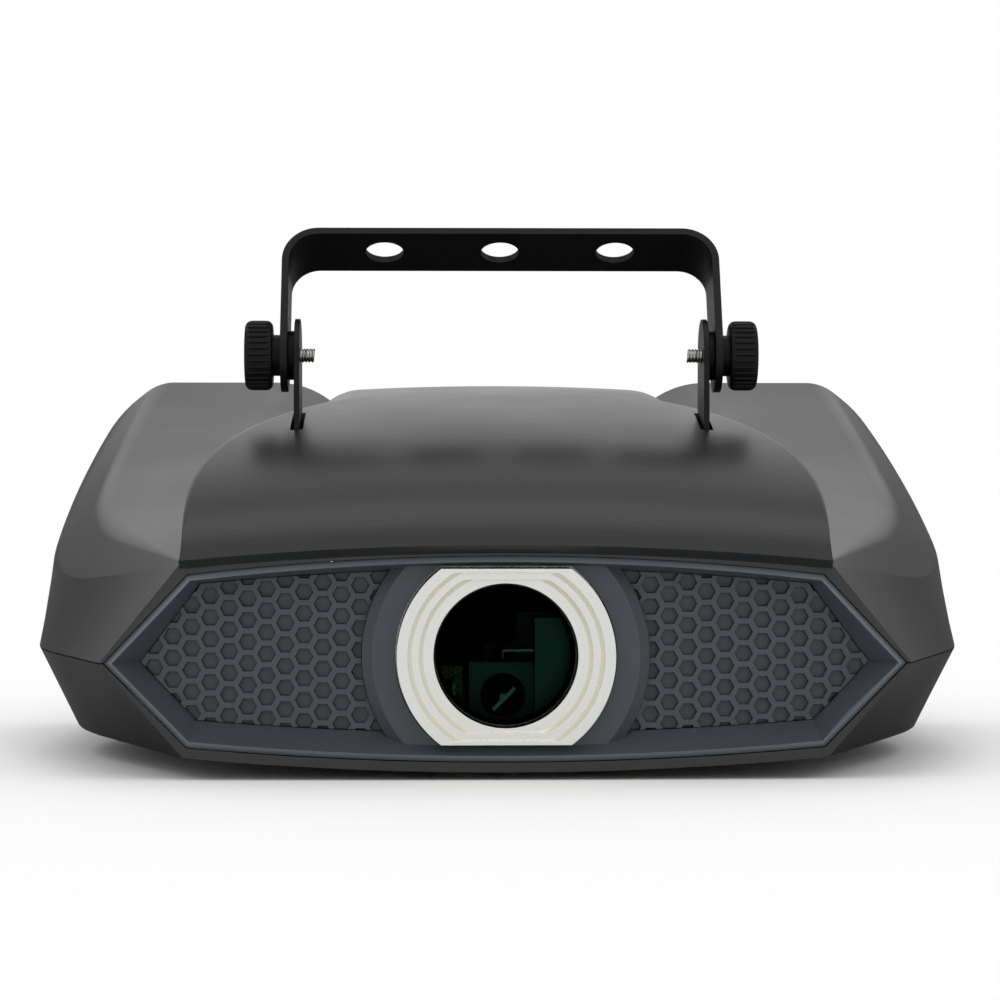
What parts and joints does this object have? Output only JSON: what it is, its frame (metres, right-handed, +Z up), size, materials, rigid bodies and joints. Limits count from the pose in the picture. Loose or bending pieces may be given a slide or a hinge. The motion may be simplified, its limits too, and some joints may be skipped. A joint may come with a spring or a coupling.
{
  "type": "laser show projector",
  "caption": "Compact effect laser projector: flared black moulded housing, honeycomb front round a silver window bezel, tilting hanging bracket with clamp knobs.",
  "frame": {"origin": "on the floor under the feet, midway in width and midway between brow and rear rim", "axes": "+X is the width, +Z is up, and the window looks along -Y"},
  "size_m": [0.2618, 0.191, 0.1461],
  "materials": {
    "shell_plastic": "satin black moulded ABS with fine grain",
    "frame_plastic": "slate grey moulded ABS",
    "bezel_metal": "turned and polished silver",
    "window_glass": "dark coated window glass",
    "black_rubber": "soft black rubber",
    "bracket_paint": "black powder coat on sheet steel",
    "knob_plastic": "black moulded nylon",
    "bright_steel": "zinc plated steel",
    "black_steel": "black oxide steel",
    "panel_paint": "black powder coat on sheet steel",
    "socket_plastic": "black moulded nylon",
    "socket_metal": "nickel plated zinc",
    "rocker_plastic": "black gloss rocker",
    "display_plastic": "dark red display filter",
    "button_plastic": "black button cap",
    "plate_aluminium": "milled aluminium",
    "black_anodised": "black anodised aluminium",
    "board_green": "green circuit board",
    "supply_steel": "plated sheet steel",
    "laser_brass": "brass laser module",
    "front_mirror": "front surface mirror",
    "fan_plastic": "black fan plastic"
  },
  "bodies": {
    "root": {"top_shell": "shell_plastic", "bottom_shell": "shell_plastic", "rubber_feet": "black_rubber", "case_screws": "black_steel", "front_frame": "frame_plastic", "honeycomb_left": "frame_plastic", "honeycomb_right": "frame_plastic", "bezel_ring": "bezel_metal", "window_glass": "window_glass", "window_gasket": "black_rubber", "window_retainer": "black_anodised", "tab_plate_left": "bracket_paint", "tab_plate_right": "bracket_paint", "friction_washer_left": "black_rubber", "friction_washer_right": "black_rubber", "optical_base": "plate_aluminium", "driver_board": "board_green", "control_board": "board_green", "power_supply": "supply_steel", "laser_blue": "laser_brass", "laser_green": "laser_brass", "laser_red": "laser_brass", "blue_combiner": "front_mirror", "green_combiner": "front_mirror", "turning_mirror": "front_mirror", "mirror_mounts": "black_anodised", "heat_sink": "black_anodised", "scanner_block": "plate_aluminium", "line_motor": "black_anodised", "frame_motor": "black_anodised", "rear_panel": "panel_paint", "panel_screws": "black_steel", "mains_inlet": "socket_plastic", "switch_body": "socket_plastic", "key_switch_body": "socket_metal", "signal_in": "socket_plastic", "signal_out": "socket_plastic", "remote_socket": "socket_plastic", "display_window": "display_plastic", "display_board": "board_green", "fan_frame": "fan_plastic", "fan_guard": "black_steel", "safety_eye": "bright_steel"},
    "bracket": {"bracket": "bracket_paint"},
    "knob_left": {"clamp_knob_left": "knob_plastic", "clamp_stud_left": "bright_steel"},
    "knob_right": {"clamp_knob_right": "knob_plastic", "clamp_stud_right": "bright_steel"},
    "rocker": {"power_rocker": "rocker_plastic"},
    "key_barrel": {"key_barrel": "socket_metal"},
    "fan_rotor": {"fan_rotor": "fan_plastic"},
    "line_mirror": {"line_mirror": "front_mirror"},
    "frame_mirror": {"frame_mirror": "front_mirror"},
    "menu_button": {"menu_button": "button_plastic"},
    "down_button": {"down_button": "button_plastic"},
    "up_button": {"up_button": "button_plastic"},
    "enter_button": {"enter_button": "button_plastic"}
  },
  "joints": [
    {"name": "bracket_tilt", "type": "hinge", "parent": "root", "child": "bracket", "pos_m": [0, -0.03648, 0.1106], "axis": [1, 0, 0], "range_deg": [-55, 115]},
    {"name": "knob_left_turn", "type": "hinge", "parent": "root", "child": "knob_left", "pos_m": [0, -0.03648, 0.1106], "axis": [-1, 0, 0], "range_deg": [0, 540]},
    {"name": "knob_right_turn", "type": "hinge", "parent": "root", "child": "knob_right", "pos_m": [0, -0.03648, 0.1106], "axis": [1, 0, 0], "range_deg": [0, 540]},
    {"name": "rocker_tip", "type": "hinge", "parent": "root", "child": "rocker", "pos_m": [0.07801, 0.0835, 0.0595], "axis": [1, 0, 0], "range_deg": [-18, 0]},
    {"name": "key_turn", "type": "hinge", "parent": "root", "child": "key_barrel", "pos_m": [0.042, 0.0835, 0.0595], "axis": [0, 1, 0], "range_deg": [0, 90]},
    {"name": "fan_spin", "type": "hinge", "parent": "root", "child": "fan_rotor", "pos_m": [-0.072, 0.074, 0.0475], "axis": [0, 1, 0], "continuous": true},
    {"name": "line_scan", "type": "hinge", "parent": "root", "child": "line_mirror", "pos_m": [0, -0.0625, 0.019], "axis": [0, 1, 0], "range_deg": [-12, 12]},
    {"name": "frame_scan", "type": "hinge", "parent": "root", "child": "frame_mirror", "pos_m": [0, -0.0625, 0.0315], "axis": [1, 0, 0], "range_deg": [-12, 12]},
    {"name": "menu_button_press", "type": "slide", "parent": "root", "child": "menu_button", "axis": [0, -1, 0], "range_m": [0, 0.0008], "stiffness_N_per_m": 500},
    {"name": "down_button_press", "type": "slide", "parent": "root", "child": "down_button", "axis": [0, -1, 0], "range_m": [0, 0.0008], "stiffness_N_per_m": 500},
    {"name": "up_button_press", "type": "slide", "parent": "root", "child": "up_button", "axis": [0, -1, 0], "range_m": [0, 0.0008], "stiffness_N_per_m": 500},
    {"name": "enter_button_press", "type": "slide", "parent": "root", "child": "enter_button", "axis": [0, -1, 0], "range_m": [0, 0.0008], "stiffness_N_per_m": 500}
  ]
}
